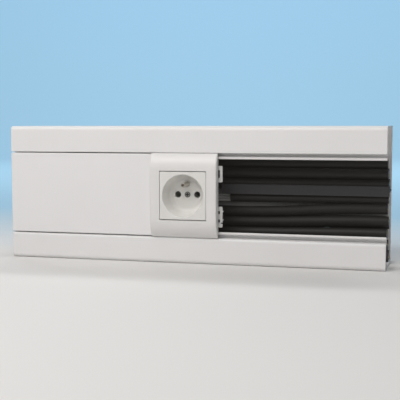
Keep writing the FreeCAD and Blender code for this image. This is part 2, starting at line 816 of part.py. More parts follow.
def sweep(label, x, profile_at, radius, plane, plane_offset, corners, arcs):
    """A round bar along a path of lines and arcs, with its volume compared with section times length."""
    body = new_body(label, x)
    route = new_sketch(body, f"{label}_route", plane, plane_offset)
    outline(route, corners, arcs, closed=False)
    section = new_sketch(body, f"{label}_section", "YZ_Plane", profile_at[0])
    circle(section, profile_at[1], profile_at[2], radius)
    doc.recompute()
    pipe = add_feature(body, "AdditivePipe", f"{label}_pipe", section)
    pipe.Spine = (route, [f"Edge{number}" for number in range(1, len(route.Shape.Edges) + 1)])
    doc.recompute()
    expected = math.pi * value(radius) ** 2 * route.Shape.Length
    if abs(body.Shape.Volume - expected) > 0.002 * expected:
        raise RuntimeError(f"{label} has volume {body.Shape.Volume}, not {expected}")
    return body


def straight_cable(label, depth, height, left, right, radius="cable_diameter / 2"):
    """A cable that lies straight along the trunking."""
    cable = doc.addObject("Part::Cylinder", label)
    cable.Label = label
    bind(cable, "Radius", radius)
    bind(cable, "Height", f"{right} - ({left})")
    cable.Placement.Rotation = FreeCAD.Rotation(FreeCAD.Vector(0, 1, 0), 90)
    for axis, place in (("x", left), ("y", f"{FRONT_Y} + {depth}"), ("z", f"{MID_Z} + {height}")):
        bind(cable, f"Placement.Base.{axis}", place)
    return cable


def rising_cable(label, depth, height, rise, left, right, radius="cable_diameter / 2"):
    """A cable that lifts by a slow double bend towards the right end."""
    length = f"({BEND_END} - {BEND_START})"
    middle = f"({BEND_START} + {BEND_END}) / 2"
    bend = f"({length} * {length} + ({rise}) * ({rise})) / (4 * ({rise}))"
    high = f"{height} + {rise}"
    corners = [
        (left, height),
        (BEND_START, height),
        (middle, f"{height} + ({rise}) / 2"),
        (BEND_END, high),
        (right, high),
    ]
    arcs = {1: (BEND_START, f"{height} + {bend}", "x"), 2: (BEND_END, f"{high} - {bend}", "x")}
    return sweep(label, "0", (left, depth, height), radius, "XZ_Plane", f"-{depth}", corners, arcs)


def build_cables():
    """The cables piled on the floor and on the partition; the lower front ones rise to the right."""
    stacks = (
        ("cable_lower_front", FRONT_COLUMN, LOWER_START, FRONT_LOWER_ROWS),
        ("cable_lower_rear", REAR_COLUMN, LOWER_START, FRONT_LOWER_ROWS - 1),
        ("cable_upper_front", FRONT_COLUMN, UPPER_START, FRONT_UPPER_ROWS),
        ("cable_upper_rear", REAR_COLUMN, UPPER_START, FRONT_UPPER_ROWS - 1),
    )
    pieces = []
    for name, depth, start, rows in stacks:
        for row in range(rows):
            label = f"{name}_{row + 1}"
            height = f"({start} + {row} * {CABLE_PITCH})"
            if name == "cable_upper_front" and 0 < row == rows - 1:
                depth = f"({FRONT_COLUMN} + {CABLE_PITCH} / 2)"
                height = f"({start} + ({row - 1} + sqrt(0.75)) * {CABLE_PITCH})"
            right = f"(trunking_length / 2 - cable_inset - {row % 3} * cable_stagger)"
            left = f"(cable_inset + {(row + 1) % 3} * cable_stagger - trunking_length / 2)"
            lifted = row - (rows - RISING_ROWS) + 1 if name == "cable_lower_front" else 0
            if lifted > 0:
                piece = rising_cable(label, depth, height, f"({lifted} * cable_rise_step)", left, right)
            else:
                piece = straight_cable(label, depth, height, left, right)
            pieces.append(piece)
    left = "(2 * cable_inset - trunking_length / 2)"
    right = "(trunking_length / 2 - 2 * cable_inset)"
    radius = f"{GREY_DIAMETER} / 2"
    pieces.append(straight_cable("cable_lower_grey", GREY_COLUMN, GREY_Z, left, right, radius))
    return pieces


def build_feed():
    """The feed cable over the lower stack, and its three cores bent into the housing's terminals."""
    right = "(trunking_length / 2 - cable_inset)"
    left = f"(feed_start + {OUTLET_X})"
    radius = "feed_diameter / 2"
    pieces = [rising_cable("feed_cable", FRONT_COLUMN, FEED_Z, FEED_RISE, left, right, radius)]
    bottom = f"({HOUSING_BACK} - terminal_depth)"
    for step, label in ((-1, "core_live"), (0, "core_neutral"), (1, "core_earth")):
        height = f"({FEED_Z} + {step} * (core_diameter + cable_gap / 2))"
        inlet = f"({step} * terminal_pitch)"
        corners = [
            ("feed_start", FRONT_COLUMN),
            (f"{inlet} + core_bend", FRONT_COLUMN),
            (inlet, f"{FRONT_COLUMN} - core_bend"),
            (inlet, bottom),
        ]
        arcs = {1: (f"{inlet} + core_bend", f"{FRONT_COLUMN} - core_bend", "x")}
        profile_at = ("feed_start", FRONT_COLUMN, height)
        core = sweep(label, OUTLET_X, profile_at, "core_diameter / 2", "XY_Plane", height, corners, arcs)
        pieces.append(core)
    return pieces


def build_all():
    """Every piece, outer ones first."""
    pieces = [
        build_base(),
        build_cover(),
        build_partition(),
        build_support(),
        build_frame(),
        build_plate(),
        build_housing(),
        build_earth_pin(),
        build_screw(),
    ]
    return pieces + build_cables() + build_feed()


def check_and_write(pieces):
    """Stops on any failed object or bad shape, then writes one file for each piece."""
    doc.recompute()
    for item in doc.Objects:
        if {"Invalid", "Error"} & set(item.State):
            raise RuntimeError(f"{item.Label} failed: {item.State}")
    for piece in pieces:
        shape = piece.Shape
        if shape.isNull() or not shape.isValid() or len(shape.Solids) != 1:
            raise RuntimeError(f"{piece.Label} has a bad shape")
    os.makedirs("parts", exist_ok=True)
    for piece in pieces:
        piece.Shape.exportStep(f"parts/{piece.Label}.step")
        box = piece.Shape.BoundBox
        print(f"{piece.Label}: {piece.Shape.Volume:.1f} mm3, x {box.XMin:.2f} to {box.XMax:.2f},"
              f" y {box.YMin:.2f} to {box.YMax:.2f}, z {box.ZMin:.2f} to {box.ZMax:.2f}")


check_and_write(build_all())
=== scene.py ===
"""Studio scene of a cut length of cable trunking with an outlet and laid cables.

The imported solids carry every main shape. This script gives them their finishes, adds the cut
faces of the cables, and sets up the floor, the light and the camera. Metres, in the part's frame.
"""

import logging
import math
from abc import ABC, abstractmethod
from dataclasses import dataclass, field
from enum import Enum

import bpy
from bpy.types import Material, Node, NodeSocket, NodeTree, Object
from mathutils import Matrix, Vector

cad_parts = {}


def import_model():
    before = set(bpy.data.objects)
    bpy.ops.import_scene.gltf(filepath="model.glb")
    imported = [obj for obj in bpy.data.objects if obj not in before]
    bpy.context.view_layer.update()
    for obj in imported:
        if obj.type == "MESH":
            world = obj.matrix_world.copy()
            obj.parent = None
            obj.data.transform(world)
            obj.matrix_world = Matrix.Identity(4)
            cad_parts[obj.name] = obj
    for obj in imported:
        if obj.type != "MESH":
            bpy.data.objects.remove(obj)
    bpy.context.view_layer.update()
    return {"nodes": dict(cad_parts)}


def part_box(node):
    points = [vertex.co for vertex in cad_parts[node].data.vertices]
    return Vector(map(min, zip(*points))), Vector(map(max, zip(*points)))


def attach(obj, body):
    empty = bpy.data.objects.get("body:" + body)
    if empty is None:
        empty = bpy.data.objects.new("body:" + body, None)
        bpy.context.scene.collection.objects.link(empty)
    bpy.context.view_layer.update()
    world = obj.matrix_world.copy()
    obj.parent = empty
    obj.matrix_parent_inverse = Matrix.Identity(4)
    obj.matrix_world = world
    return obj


LOG = logging.getLogger("trunking")
MM = 0.001
Colour = tuple[float, float, float]
Point = tuple[float, float, float]
Span = tuple[float, float]
Input = NodeSocket | float | Colour


class Side(Enum):
    """The two ends of the trunking, each with the turn about Z that makes a face look out of it."""

    RIGHT = 0.0
    LEFT = math.pi


class Insulation(Enum):
    """The colours of a cable's cores: each one's main colour and the shade or band on it."""

    BROWN = ((0.105, 0.036, 0.017), (0.088, 0.03, 0.014))
    BLUE = ((0.036, 0.13, 0.36), (0.03, 0.112, 0.32))
    GREEN = ((0.05, 0.24, 0.035), (0.68, 0.52, 0.04))
    BLACK = ((0.02, 0.02, 0.02), (0.016, 0.016, 0.016))
    GREY = ((0.46, 0.46, 0.45), (0.41, 0.41, 0.4))


class Carries(Enum):
    """What an output of a shared effect carries, with Blender's name for such a socket."""

    VALUE = "NodeSocketFloat"
    COLOUR = "NodeSocketColor"
    NORMAL = "NodeSocketVector"


# Node helpers and the effects that several finishes share


class NodePad:
    """Adds nodes to one tree and joins them, with few words."""

    def __init__(self, tree: NodeTree) -> None:
        """Keeps the tree that the nodes go into."""
        self.tree = tree

    def put(self, node: Node, name: str | int, value: Input) -> None:
        """Sets an input to a value, or joins it to another node's output.

        Args:
            node: The node whose input is set.
            name: The input's name or number.
            value: An output socket, a colour or a plain value.
        """
        socket = node.inputs[name]
        if isinstance(value, NodeSocket):
            self.tree.links.new(value, socket)
        elif socket.type == "RGBA":
            socket.default_value = (*value, 1.0)
        else:
            socket.default_value = value

    def fill(self, node: Node, **sockets: Input) -> None:
        """Sets several inputs of a node, with underscores for spaces in their names."""
        for name, value in sockets.items():
            self.put(node, name.replace("_", " "), value)

    def add(self, kind: str, settings: dict[str, object] | None = None, **sockets: Input) -> Node:
        """Adds one node.

        Args:
            kind: The node's type, without the leading ShaderNode.
            settings: Properties of the node itself.
            **sockets: The inputs' values, with underscores for spaces in their names.

        Returns:
            The new node.
        """
        node = self.tree.nodes.new(f"ShaderNode{kind}")
        for name, value in (settings or {}).items():
            setattr(node, name, value)
        self.fill(node, **sockets)
        return node

    def operate(self, kind: str, operation: str, *values: Input) -> Node:
        """Adds a node whose operands are numbered.

        Args:
            kind: Math or VectorMath.
            operation: The node's operation.
            *values: Its operands, plain or joined.

        Returns:
            The new node.
        """
        node = self.add(kind, {"operation": operation})
        for number, value in enumerate(values):
            self.put(node, number, value)
        return node

    def total(self, first: Input, second: Input, clamp: bool = False) -> NodeSocket:
        """Adds two values.

        Args:
            first: The first value.
            second: The second value.
            clamp: Whether the sum is held between 0 and 1.

        Returns:
            The sum's socket.
        """
        node = self.operate("Math", "ADD", first, second)
        node.use_clamp = clamp
        return node.outputs[0]

    def times(self, first: Input, *others: Input) -> NodeSocket:
        """Multiplies values.

        Args:
            first: The first value.
            *others: The values that it is multiplied by.

        Returns:
            The product's socket.
        """
        for other in others:
            first = self.operate("Math", "MULTIPLY", first, other).outputs[0]
        return first

    def ramp(self, value: NodeSocket, low: float, high: float, out_low: float = 0.0,
             out_high: float = 1.0) -> NodeSocket:
        """Spreads a value from one range to another, held at both ends.

        Args:
            value: The value's socket.
            low: Where the first range starts.
            high: Where it ends.
            out_low: What the start becomes.
            out_high: What the end becomes.

        Returns:
            The result's socket.
        """
        node = self.add("MapRange", {"clamp": True}, Value=value, From_Min=low, From_Max=high,
                        To_Min=out_low, To_Max=out_high)
        return node.outputs[0]

    def mix(self, factor: NodeSocket, first: Input, second: Input) -> NodeSocket:
        """Mixes two colours.

        Args:
            factor: How much of the second colour shows.
            first: The first colour or its socket.
            second: The second colour or its socket.

        Returns:
            The mixed colour's socket.
        """
        factor_in, first_in, second_in, colour_out = 0, 6, 7, 2
        node = self.add("Mix", {"data_type": "RGBA"})
        self.put(node, factor_in, factor)
        self.put(node, first_in, first)
        self.put(node, second_in, second)
        return node.outputs[colour_out]

    def noise(self, place: NodeSocket, scale: Input, detail: float, roughness: float = 0.5) -> NodeSocket:
        """Adds a noise pattern with some finer layers, and the strength of those."""
        node = self.add("TexNoise", Vector=place, Scale=scale, Detail=detail, Roughness=roughness)
        return node.outputs["Fac"]

    def part(self, vector: NodeSocket, axis: str) -> NodeSocket:
        """Reads one part of a vector: X, Y or Z."""
        return self.add("SeparateXYZ", Vector=vector).outputs[axis]

    def place(self) -> NodeSocket:
        """The point's own place on its piece."""
        return self.add("TexCoord").outputs["Object"]

    def facing(self) -> NodeSocket:
        """The way that the surface looks, in its piece's frame."""
        return self.add("TexCoord").outputs["Normal"]


class Effects:
    """The shared surface effects, each one a node group that is built once.

    A second pattern's scale is given as a multiple of the first one's. A span is the range of a
    pattern's value, or of a direction, over which its mask goes from nothing to full.
    """

    BAND_SCALE = 0.12
    BAND_SPAN = (0.3, 0.7)
    SPECK_SCALE = 38.0
    SPECK_SPAN = (0.66, 0.76)
    DRIFT_SPAN = (0.32, 0.72)
    PEEL_SCALE = 0.1
    TOOTH_SCALE = 6.0
    TOOTH_BEND = 0.06
    ACROSS_SPAN = (0.9, 0.97)
    UPWARD_SPAN = (0.05, 0.95)
    FLECK_SCALE = 22.0
    FLECK_SPAN = (0.35, 0.62)
    PATCH_SPAN = (0.38, 0.68)
    EDGE_SAMPLES = 6
    EDGE_SPAN = (0.995, 0.9)

    def __init__(self) -> None:
        """Builds all the groups."""
        self.streaks = self.make_streaks()
        self.drift = self.make_drift()
        self.grain = self.make_grain()
        self.sawn = self.make_sawn()
        self.dust = self.make_dust()
        self.edges = self.make_edges()

    @staticmethod
    def start(name: str, inputs: dict[str, float | Colour],
              outputs: dict[str, Carries]) -> tuple[NodePad, dict[str, NodeSocket], Node]:
        """Starts a group with named sockets.

        Args:
            name: The group's name.
            inputs: Each input's name and starting value.
            outputs: Each output's name and what it carries.

        Returns:
            The pad for its nodes, its input sockets by name, and its output node.
        """
        tree = bpy.data.node_groups.new(name, "ShaderNodeTree")
        for label, value in inputs.items():
            is_colour = isinstance(value, tuple)
            kind = Carries.COLOUR if is_colour else Carries.VALUE
            socket = tree.interface.new_socket(name=label, in_out="INPUT", socket_type=kind.value)
            socket.default_value = (*value, 1.0) if is_colour else value
        for label, kind in outputs.items():
            tree.interface.new_socket(name=label, in_out="OUTPUT", socket_type=kind.value)
        entry = tree.nodes.new("NodeGroupInput")
        sockets = {label: entry.outputs[label] for label in inputs}
        return NodePad(tree), sockets, tree.nodes.new("NodeGroupOutput")

    def make_streaks(self) -> NodeTree:
        """Die lines along the trunking: fine streaks drawn out in X.

        Returns:
            A group with the streaks' height and a slower mask of them.
        """
        pad, given, out = self.start("die_lines", {"Fineness": 900.0, "Draw": 0.012},
                                     {"Height": Carries.VALUE, "Bands": Carries.VALUE})
        stretch = pad.add("CombineXYZ", X=given["Draw"], Y=1.0, Z=1.0).outputs[0]
        drawn = pad.operate("VectorMath", "MULTIPLY", pad.place(), stretch).outputs[0]
        broad = pad.noise(drawn, pad.times(given["Fineness"], self.BAND_SCALE), detail=2.0)
        pad.fill(out, Height=pad.noise(drawn, given["Fineness"], detail=3.0, roughness=0.6),
                 Bands=pad.ramp(broad, *self.BAND_SPAN))
        return pad.tree

    def make_drift(self) -> NodeTree:
        """A slow drift between two near colours, with small specks of the second one.

        Returns:
            A group with the drifting colour and its mask.
        """
        pad, given, out = self.start(
            "tone_drift",
            {"Main": (0.8, 0.8, 0.8), "Shade": (0.7, 0.7, 0.7), "Scale": 18.0, "Specks": 0.15},
            {"Colour": Carries.COLOUR, "Mask": Carries.VALUE},
        )
        place = pad.place()
        slow = pad.noise(place, given["Scale"], detail=4.0, roughness=0.55)
        spots = pad.noise(place, pad.times(given["Scale"], self.SPECK_SCALE), detail=2.0)
        specks = pad.times(pad.ramp(spots, *self.SPECK_SPAN), given["Specks"])
        mask = pad.total(pad.ramp(slow, *self.DRIFT_SPAN), specks, clamp=True)
        pad.fill(out, Colour=pad.mix(mask, given["Main"], given["Shade"]), Mask=mask)
        return pad.tree

    def make_grain(self) -> NodeTree:
        """The fine grain of a moulded skin, over slow waves.

        Returns:
            A group with the grain's height.
        """
        pad, given, out = self.start("mould_grain", {"Scale": 1800.0, "Waves": 0.35},
                                     {"Height": Carries.VALUE})
        place = pad.place()
        fine = pad.noise(place, given["Scale"], detail=2.0)
        peel = pad.noise(place, pad.times(given["Scale"], self.PEEL_SCALE), detail=1.0)
        pad.fill(out, Height=pad.total(fine, pad.times(peel, given["Waves"])))
        return pad.tree

    def make_sawn(self) -> NodeTree:
        """The faces cut across the trunking: where they are, and the saw's marks on them.

        Returns:
            A group with a mask of the faces that look along X and the marks' height.
        """
        pad, given, out = self.start("sawn_faces", {"Teeth": 260.0, "Lean": 0.22},
                                     {"Mask": Carries.VALUE, "Marks": Carries.VALUE})
        across = pad.operate("Math", "ABSOLUTE", pad.part(pad.facing(), "X")).outputs[0]
        place = pad.place()
        height = pad.part(place, "Z")
        slant = pad.total(pad.part(place, "Y"), pad.times(height, given["Lean"]))
        bent = pad.add("CombineXYZ", X=slant, Y=pad.times(height, self.TOOTH_BEND)).outputs[0]
        teeth = pad.times(given["Teeth"], self.TOOTH_SCALE)
        pad.fill(out, Mask=pad.ramp(across, *self.ACROSS_SPAN),
                 Marks=pad.noise(bent, teeth, detail=4.0, roughness=0.7))
        return pad.tree

    def make_dust(self) -> NodeTree:
        """Settled dust on what faces up, in soft patches.

        Returns:
            A group with the dust's mask.
        """
        pad, given, out = self.start("settled_dust", {"Amount": 0.5, "Patches": 120.0},
                                     {"Mask": Carries.VALUE})
        upward = pad.ramp(pad.part(pad.facing(), "Z"), *self.UPWARD_SPAN)
        place = pad.place()
        patches = pad.noise(place, given["Patches"], detail=5.0, roughness=0.62)
        flecks = pad.noise(place, pad.times(given["Patches"], self.FLECK_SCALE), detail=2.0)
        cloud = pad.times(pad.ramp(patches, *self.PATCH_SPAN), pad.ramp(flecks, *self.FLECK_SPAN))
        pad.fill(out, Mask=pad.times(upward, cloud, given["Amount"]))
        return pad.tree

    def make_edges(self) -> NodeTree:
        """Softened edges: a normal that rolls over each edge, and a mask of the edges.

        Returns:
            A group with the rolled normal and the edges' mask.
        """
        pad, given, out = self.start("soft_edges", {"Radius": 0.3 * MM},
                                     {"Normal": Carries.NORMAL, "Mask": Carries.VALUE})
        soft = pad.add("Bevel", {"samples": self.EDGE_SAMPLES}, Radius=given["Radius"]).outputs[0]
        sharp = pad.add("NewGeometry").outputs["Normal"]
        likeness = pad.operate("VectorMath", "DOT_PRODUCT", soft, sharp).outputs["Value"]
        pad.fill(out, Normal=soft, Mask=pad.ramp(likeness, *self.EDGE_SPAN))
        return pad.tree


class Surface(NodePad):
    """The pad of one material, with its shader and the shared effects at hand."""

    def __init__(self, name: str, colour: Colour, effects: Effects, front: float) -> None:
        """Starts the material.

        Args:
            name: The material's name.
            colour: Its colour in plain views.
            effects: The shared effects.
            front: Where the front of the dressed piece is in Y.
        """
        self.material = bpy.data.materials.new(name)
        self.material.use_nodes = True
        self.material.diffuse_color = (*colour, 1.0)
        super().__init__(self.material.node_tree)
        self.shader = self.tree.nodes["Principled BSDF"]
        self.effects = effects
        self.front = front

    def effect(self, group: NodeTree, **sockets: Input) -> Node:
        """Places a shared effect in the material, with values for its inputs."""
        return self.add("Group", {"node_tree": group}, **sockets)

    def shade(self, **sockets: Input) -> None:
        """Sets inputs of the shader, with underscores for spaces in their names."""
        self.fill(self.shader, **sockets)

    def rough(self, mask: NodeSocket, roughness: Span) -> NodeSocket:
        """Spreads the roughness over a mask, from its least to its most."""
        return self.ramp(mask, 0.0, 1.0, *roughness)

    def relief(self, height: NodeSocket, depth: float, normal: NodeSocket | None = None) -> None:
        """Joins a height to the shader's normal.

        Args:
            height: The height's socket.
            depth: How deep a full step of the height is.
            normal: A normal to start from, if not the surface's own.
        """
        bump = self.add("Bump", Height=height, Distance=depth)
        if normal is not None:
            self.put(bump, "Normal", normal)
        self.shade(Normal=bump.outputs[0])


# Finishes


@dataclass(frozen=True)
class Finish(ABC):
    """What every finish has.

    Attributes:
        name: The material's name.
        main: The main colour.
        shade: A near shade of it.
        roughness: The least and the most roughness.
    """

    name: str
    main: Colour
    shade: Colour
    roughness: Span

    def build(self, effects: Effects, front: float = 0.0) -> Material:
        """Builds the material.

        Args:
            effects: The shared effects.
            front: Where the front of the dressed piece is in Y, where that counts.

        Returns:
            The material.
        """
        surface = Surface(self.name, self.main, effects, front)
        self.paint(surface)
        return surface.material

    @abstractmethod
    def paint(self, surface: Surface) -> None:
        """Lays the finish on a new surface."""

    def tone(self, surface: Surface, scale: float, specks: float) -> Node:
        """Lets the main colour drift to its shade, with specks of the shade."""
        return surface.effect(surface.effects.drift, Main=self.main, Shade=self.shade, Scale=scale,
                              Specks=specks)


@dataclass(frozen=True)
class RolledEdge:
    """The upper edge of the lower front flange, which catches the light as a round edge does.

    Attributes:
        height: The edge's height.
        width: How far below the edge it starts to roll over.
        lean: How far the normal leans up at the edge.
        reach: How far above the edge and behind the front face it ends.
        fade: The width over which it ends there.
    """

    height: float = 25.0 * MM
    width: float = 3.2 * MM
    lean: float = 0.8
    reach: float = 0.5 * MM
    fade: float = 0.1 * MM

    def roll(self, surface: Surface, normal: NodeSocket) -> NodeSocket:
        """Leans a normal upwards near the edge.

        Args:
            surface: The surface.
            normal: The surface's normal.

        Returns:
            The leaning normal's socket.
        """
        place = surface.place()
        height = surface.part(place, "Z")
        top = self.height + self.reach
        back = surface.front + self.reach
        near_edge = surface.ramp(height, self.height - self.width, self.height)
        below_edge = surface.ramp(height, top, top - self.fade)
        on_front = surface.ramp(surface.part(place, "Y"), back, back - self.fade)
        upwards = surface.times(near_edge, below_edge, on_front, self.lean)
        way = surface.add("CombineXYZ", Z=upwards).outputs[0]
        leaning = surface.operate("VectorMath", "ADD", normal, way).outputs[0]
        return surface.operate("VectorMath", "NORMALIZE", leaning).outputs[0]


@dataclass(frozen=True)
class ExtrudedPvc(Finish):
    """Extruded PVC: satin, with faint die lines along its length and sawn ends.

    Attributes:
        edge: The radius of its soft edges.
        rolled: An edge that is rounder than those, if it has one.
        cut: The colour of the sawn ends.
        cut_tint: How much of the shade the saw's marks show.
        cut_rough: How much rougher the sawn ends are.
        line_height: The die lines' share of the relief.
        cut_height: The saw marks' share of it.
        relief_depth: How deep the relief is.
    """

    edge: float = 0.35 * MM
    rolled: RolledEdge | None = None
    cut: Colour = (0.6, 0.6, 0.58)
    cut_tint: float = 0.35
    cut_rough: float = 0.25
    line_height: float = 0.25
    cut_height: float = 4.0
    relief_depth: float = 0.012 * MM

    def paint(self, surface: Surface) -> None:
        """Lays the drifting colour, the die lines, the soft edges and the sawn ends.

        Args:
            surface: The new surface.
        """
        tone = self.tone(surface, scale=14.0, specks=0.12)
        lines = surface.effect(surface.effects.streaks, Fineness=850.0, Draw=0.01)
        sawn = surface.effect(surface.effects.sawn, Teeth=240.0, Lean=0.25)
        normal = surface.effect(surface.effects.edges, Radius=self.edge).outputs["Normal"]
        is_cut = sawn.outputs["Mask"]
        marks = sawn.outputs["Marks"]
        cut_colour = surface.mix(surface.times(marks, self.cut_tint), self.cut, self.shade)
        satin = surface.rough(lines.outputs["Bands"], self.roughness)
        surface.shade(
            Base_Color=surface.mix(is_cut, tone.outputs["Colour"], cut_colour),
            Roughness=surface.total(satin, surface.times(is_cut, self.cut_rough), clamp=True),
        )
        drawn = surface.times(lines.outputs["Height"], self.line_height)
        torn = surface.times(is_cut, marks, self.cut_height)
        if self.rolled is not None:
            normal = self.rolled.roll(surface, normal)
        surface.relief(surface.total(drawn, torn), self.relief_depth, normal)


@dataclass(frozen=True)
class MouldedPlastic(Finish):
    """Injection-moulded plastic, from glossy to matt.

    Attributes:
        grain: How deep its grain is.
        edge: The radius of its soft edges.
        edge_rough: How much rougher those are.
    """

    grain: float = 0.006 * MM
    edge: float = 0.3 * MM
    edge_rough: float = 0.06

    def paint(self, surface: Surface) -> None:
        """Lays the drifting colour, the moulded grain and the soft edges.

        Args:
            surface: The new surface.
        """
        tone = self.tone(surface, scale=30.0, specks=0.1)
        skin = surface.effect(surface.effects.grain, Scale=1500.0, Waves=0.8)
        edges = surface.effect(surface.effects.edges, Radius=self.edge)
        rubbed = surface.rough(tone.outputs["Mask"], self.roughness)
        surface.shade(
            Base_Color=tone.outputs["Colour"],
            Roughness=surface.total(rubbed, surface.times(edges.outputs["Mask"], self.edge_rough)),
        )
        surface.relief(skin.outputs["Height"], self.grain, edges.outputs["Normal"])


@dataclass(frozen=True)
class CableSheath(Finish):
    """A cable's sheath: drawn lengthwise, a little glossy, with a film of dust on top.

    Attributes:
        dust: The dust's colour.
        film: How much of the dust there is.
        shine: How strongly it mirrors, where 0.5 is plain plastic.
        line_depth: How deep the drawn lines are.
    """

    dust: Colour = (0.16, 0.15, 0.13)
    film: float = 0.1
    shine: float = 0.5
    line_depth: float = 0.03 * MM

    def paint(self, surface: Surface) -> None:
        """Lays the drifting colour, the drawn lines and the dust.

        Args:
            surface: The new surface.
        """
        tone = self.tone(surface, scale=45.0, specks=0.2)
        lines = surface.effect(surface.effects.streaks, Fineness=700.0, Draw=0.03)
        dusty = surface.effect(surface.effects.dust, Amount=self.film, Patches=90.0).outputs["Mask"]
        clean = surface.rough(lines.outputs["Bands"], self.roughness)
        surface.shade(
            Base_Color=surface.mix(dusty, tone.outputs["Colour"], self.dust),
            Roughness=surface.total(clean, dusty, clamp=True),
            Specular_IOR_Level=self.shine,
        )
        surface.relief(lines.outputs["Height"], self.line_depth)


@dataclass(frozen=True)
class CoreInsulation(Finish):
    """A core's insulation: plain, or with a band of the second colour along its upper side.

    Attributes:
        band_from: How far up a surface looks where the band starts, or nothing for a plain core.
        band_blur: How far the band's border spreads to each side.
        line_depth: How deep the drawn lines are.
    """

    band_from: float | None = None
    band_blur: float = 0.04
    line_depth: float = 0.01 * MM

    def paint(self, surface: Surface) -> None:
        """Lays the drawn lines and the second colour, in their bands or in the one band.

        Args:
            surface: The new surface.
        """
        lines = surface.effect(surface.effects.streaks, Fineness=1600.0, Draw=0.05)
        second = lines.outputs["Bands"]
        if self.band_from is not None:
            upward = surface.part(surface.facing(), "Z")
            second = surface.ramp(upward, self.band_from - self.band_blur, self.band_from + self.band_blur)
        surface.shade(
            Base_Color=surface.mix(second, self.main, self.shade),
            Roughness=surface.rough(lines.outputs["Bands"], self.roughness),
        )
        surface.relief(lines.outputs["Height"], self.line_depth)


@dataclass(frozen=True)
class PaintedDarkPart:
    """A stretch of a metal piece's depth that is painted dark: painted shade in a recess, or a painted dark
    reflection on a domed tip.

    Attributes:
        bright_at: How far behind the front the metal is still bright.
        dark_at: How far behind the front it is dark.
        colour: The painted dark colour.
    """

    bright_at: float
    dark_at: float
    colour: Colour


@dataclass(frozen=True)
class PlatedMetal(Finish):
    """Turned and plated metal: bright, with fine rub marks.

    Attributes:
        dark: The part of it that is painted dark, as painted shade or a painted reflection, if it has one.
        rub_depth: How deep the rub marks are.
    """

    dark: PaintedDarkPart | None = None
    rub_depth: float = 0.006 * MM

    def paint(self, surface: Surface) -> None:
        """Lays the drifting metal, its painted dark part and the rub marks.

        Args:
            surface: The new surface.
        """
        tone = self.tone(surface, scale=160.0, specks=0.3)
        rubs = surface.effect(surface.effects.grain, Scale=2600.0, Waves=1.4)
        colour = tone.outputs["Colour"]
        # Painted shade or painted reflection: the colour darkens with depth behind the front.
        if self.dark is not None:
            depth = surface.part(surface.place(), "Y")
            painted_darkness = surface.ramp(depth, surface.front + self.dark.bright_at,
                                    surface.front + self.dark.dark_at)
            colour = surface.mix(painted_darkness, colour, self.dark.colour)
        surface.shade(
            Base_Color=colour,
            Metallic=1.0,
            Roughness=surface.rough(tone.outputs["Mask"], self.roughness),
        )
        surface.relief(rubs.outputs["Height"], self.rub_depth)


@dataclass(frozen=True)
class ChalkFiller(Finish):
    """The pale filler round a cable's cores: matt, crumbly, cut across.

    Attributes:
        crumb_depth: How deep its crumbs are.
    """

    crumb_depth: float = 0.05 * MM

    def paint(self, surface: Surface) -> None:
        """Lays the speckled colour and the crumbs.

        Args:
            surface: The new surface.
        """
        tone = self.tone(surface, scale=420.0, specks=0.6)
        skin = surface.effect(surface.effects.grain, Scale=2200.0, Waves=2.0)
        surface.shade(
            Base_Color=tone.outputs["Colour"],
            Roughness=surface.rough(tone.outputs["Mask"], self.roughness),
        )
        surface.relief(skin.outputs["Height"], self.crumb_depth)


@dataclass(frozen=True)
class StudioPaper(Finish):
    """The studio's plain pale paper: near white in front of the part, and pale blue behind it.

    Attributes:
        far: The colour behind the part.
        near_to: Where the near colour ends in Y.
        far_from: Where the far colour is full.
        fibre_depth: How deep its fibres are.
    """

    far: Colour = (0.36, 0.61, 0.8)
    near_to: float = 0.0
    far_from: float = 0.45
    fibre_depth: float = 0.02 * MM

    def paint(self, surface: Surface) -> None:
        """Lays the two colours and the fibres.

        Args:
            surface: The new surface.
        """
        tone = self.tone(surface, scale=1.2, specks=0.0)
        skin = surface.effect(surface.effects.grain, Scale=700.0, Waves=0.5)
        behind = surface.ramp(surface.part(surface.place(), "Y"), self.near_to, self.far_from)
        surface.shade(
            Base_Color=surface.mix(behind, tone.outputs["Colour"], self.far),
            Roughness=surface.rough(tone.outputs["Mask"], self.roughness),
        )
        surface.relief(skin.outputs["Height"], self.fibre_depth)


# Modelling helpers


class Workbench:
    """Short ways to model by operators."""

    SAME_WAY = 0.999

    @staticmethod
    def clear() -> None:
        """Leaves edit mode and selects nothing."""
        if bpy.context.object and bpy.context.object.mode != "OBJECT":
            bpy.ops.object.mode_set(mode="OBJECT")
        bpy.ops.object.select_all(action="DESELECT")

    @classmethod
    def pick_faces(cls, piece: Object, way: Vector) -> None:
        """Selects, in edit mode, the faces that look one way.

        Args:
            piece: The piece that is being edited.
            way: The way that they look.
        """
        bpy.ops.mesh.select_mode(type="FACE")
        bpy.ops.mesh.select_all(action="DESELECT")
        bpy.ops.object.mode_set(mode="OBJECT")
        for face in piece.data.polygons:
            face.select = face.normal.dot(way) > cls.SAME_WAY
        bpy.ops.object.mode_set(mode="EDIT")

    @staticmethod
    def extrude(distance: float) -> None:
        """Extrudes the selected faces along X."""
        bpy.ops.mesh.extrude_region_move(TRANSFORM_OT_translate={"value": (distance, 0.0, 0.0)})


# The object's sub-assemblies


@dataclass
class SubAssembly(ABC):
    """Pieces that belong together.

    Attributes:
        solids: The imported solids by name.
        effects: The shared effects.
    """

    solids: dict[str, Object]
    effects: Effects

    @abstractmethod
    def build(self) -> list[Object]:
        """Makes and dresses the pieces, and returns them."""

    def dress(self, name: str, material: Material) -> Object:
        """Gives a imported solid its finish.

        Args:
            name: The solid's name.
            material: The finish.

        Returns:
            The dressed solid.
        """
        solid = self.solids[name]
        solid.data.materials.clear()
        solid.data.materials.append(material)
        return solid

    def dress_each(self, finishes: dict[str, Finish]) -> list[Object]:
        """Gives several solids, by their names, a finish each and returns them."""
        return [self.dress(name, finish.build(self.effects, front=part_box(name)[0].y))
                for name, finish in finishes.items()]


